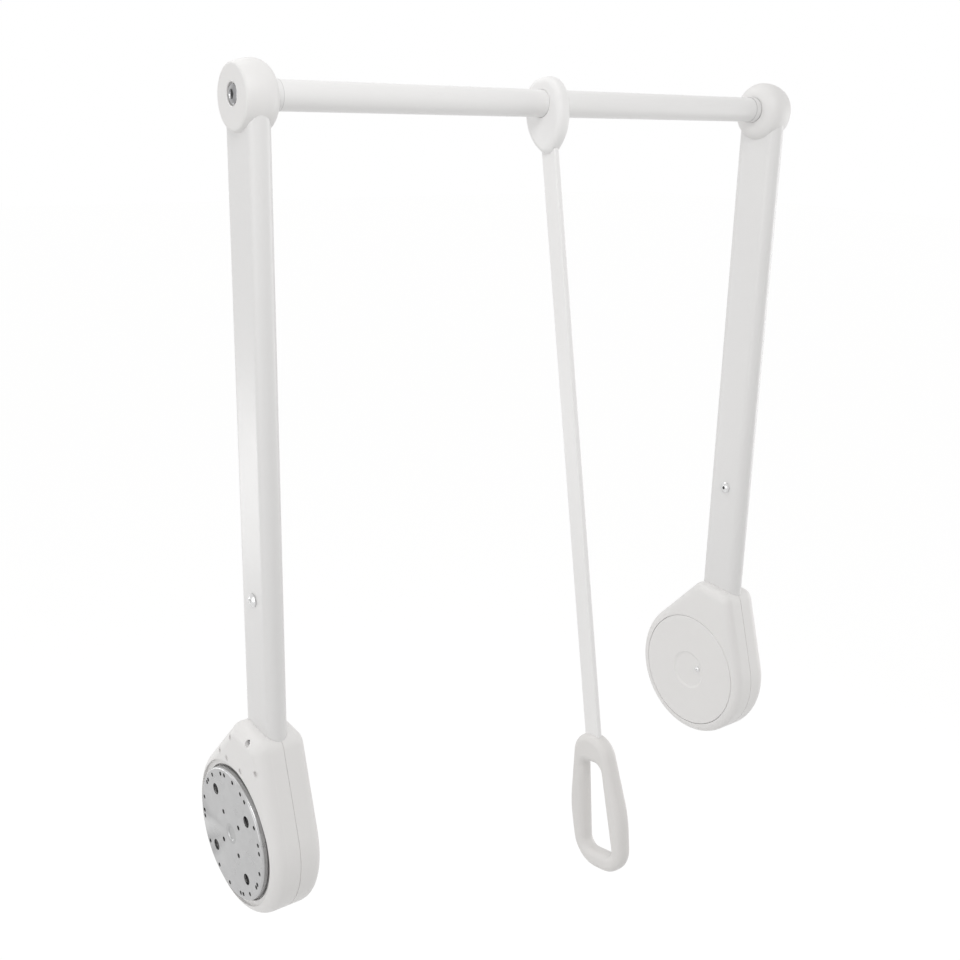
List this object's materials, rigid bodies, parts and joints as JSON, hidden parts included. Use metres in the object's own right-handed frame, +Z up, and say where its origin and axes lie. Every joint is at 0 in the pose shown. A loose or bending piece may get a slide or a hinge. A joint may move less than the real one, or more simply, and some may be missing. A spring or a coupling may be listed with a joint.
{
  "type": "pull down closet rod",
  "caption": "Spring-lifted wardrobe rail: two side arms turn down on wall pivots and carry a telescopic hanging rail with a pull bar and loop handle.",
  "frame": {"origin": "centre of the left mounting plate's wall face, on the pivot axis", "axes": "+X along the pivot axis and the rail to the right side, -Y to the user, +Z up"},
  "size_m": [0.68, 0.2708, 0.7846],
  "materials": {
    "white_plastic": "moulded, satin",
    "white_steel": "white powder coat",
    "white_alloy": "white powder coat",
    "zinc_plate": "galvanised sheet",
    "turned_steel": "turned, zinc plated",
    "spring_steel": "blued strip",
    "screw_steel": "bright zinc",
    "cast_alloy": "as cast",
    "grey_plastic": "moulded",
    "rubber": "moulded",
    "plain_tube": "bright zinc"
  },
  "bodies": {
    "left_plate": {"mounting_plate_left": "zinc_plate", "pivot_shaft_left": "turned_steel", "stop_disc_left": "turned_steel", "spring_arbor_left": "turned_steel", "shaft_clip_left": "turned_steel"},
    "left_side": {"housing_outer_left": "white_plastic", "housing_inner_left": "white_plastic", "round_cover_left": "white_plastic", "cover_screw_left": "screw_steel", "case_screws_left": "screw_steel", "shell_screw_left": "screw_steel", "arm_carrier_left": "cast_alloy", "pivot_bush_left": "grey_plastic", "stop_pin_left": "turned_steel", "stop_buffer_left": "rubber", "power_spring_left": "spring_steel", "spring_post_left": "turned_steel", "arm_tube_left": "white_steel", "arm_bolt_left": "screw_steel", "arm_nut_left": "screw_steel", "corner_cap_left": "white_plastic", "rail_screw_left": "screw_steel", "rail_plug_left": "grey_plastic", "rail_collar_left": "white_plastic", "rail_tube_left": "white_steel", "rail_inner_tube": "plain_tube"},
    "right_side": {"housing_outer_right": "white_plastic", "housing_inner_right": "white_plastic", "round_cover_right": "white_plastic", "cover_screw_right": "screw_steel", "case_screws_right": "screw_steel", "shell_screw_right": "screw_steel", "arm_carrier_right": "cast_alloy", "pivot_bush_right": "grey_plastic", "stop_pin_right": "turned_steel", "stop_buffer_right": "rubber", "power_spring_right": "spring_steel", "spring_post_right": "turned_steel", "arm_tube_right": "white_steel", "arm_bolt_right": "screw_steel", "arm_nut_right": "screw_steel", "corner_cap_right": "white_plastic", "rail_screw_right": "screw_steel", "rail_plug_right": "grey_plastic", "rail_collar_right": "white_plastic", "rail_tube_right": "white_steel"},
    "right_plate": {"mounting_plate_right": "zinc_plate", "pivot_shaft_right": "turned_steel", "stop_disc_right": "turned_steel", "spring_arbor_right": "turned_steel", "shaft_clip_right": "turned_steel"},
    "pull_bar": {"pull_hook": "white_plastic", "pull_bar": "white_alloy", "pull_handle": "white_plastic"}
  },
  "joints": [
    {"name": "lift", "type": "hinge", "parent": "left_plate", "child": "left_side", "pos_m": [0.03, 0, 0], "axis": [1, 0, 0], "range_deg": [0, 100], "stiffness_Nm_per_rad": 12, "springref_deg": -57.3},
    {"name": "rail_telescope", "type": "slide", "parent": "left_side", "child": "right_side", "axis": [1, 0, 0], "range_m": [0, 0.15]},
    {"name": "right_plate_turn", "type": "hinge", "parent": "right_side", "child": "right_plate", "pos_m": [0.65, 0, 0], "axis": [1, 0, 0], "range_deg": [-100, 0]},
    {"name": "pull_bar_swing", "type": "hinge", "parent": "left_side", "child": "pull_bar", "pos_m": [0.34, -0.0228, 0.672], "axis": [1, 0, 0], "continuous": true}
  ],
  "couplings": [
    {"joint": "right_plate_turn", "follows": "lift", "ratio": -1}
  ]
}
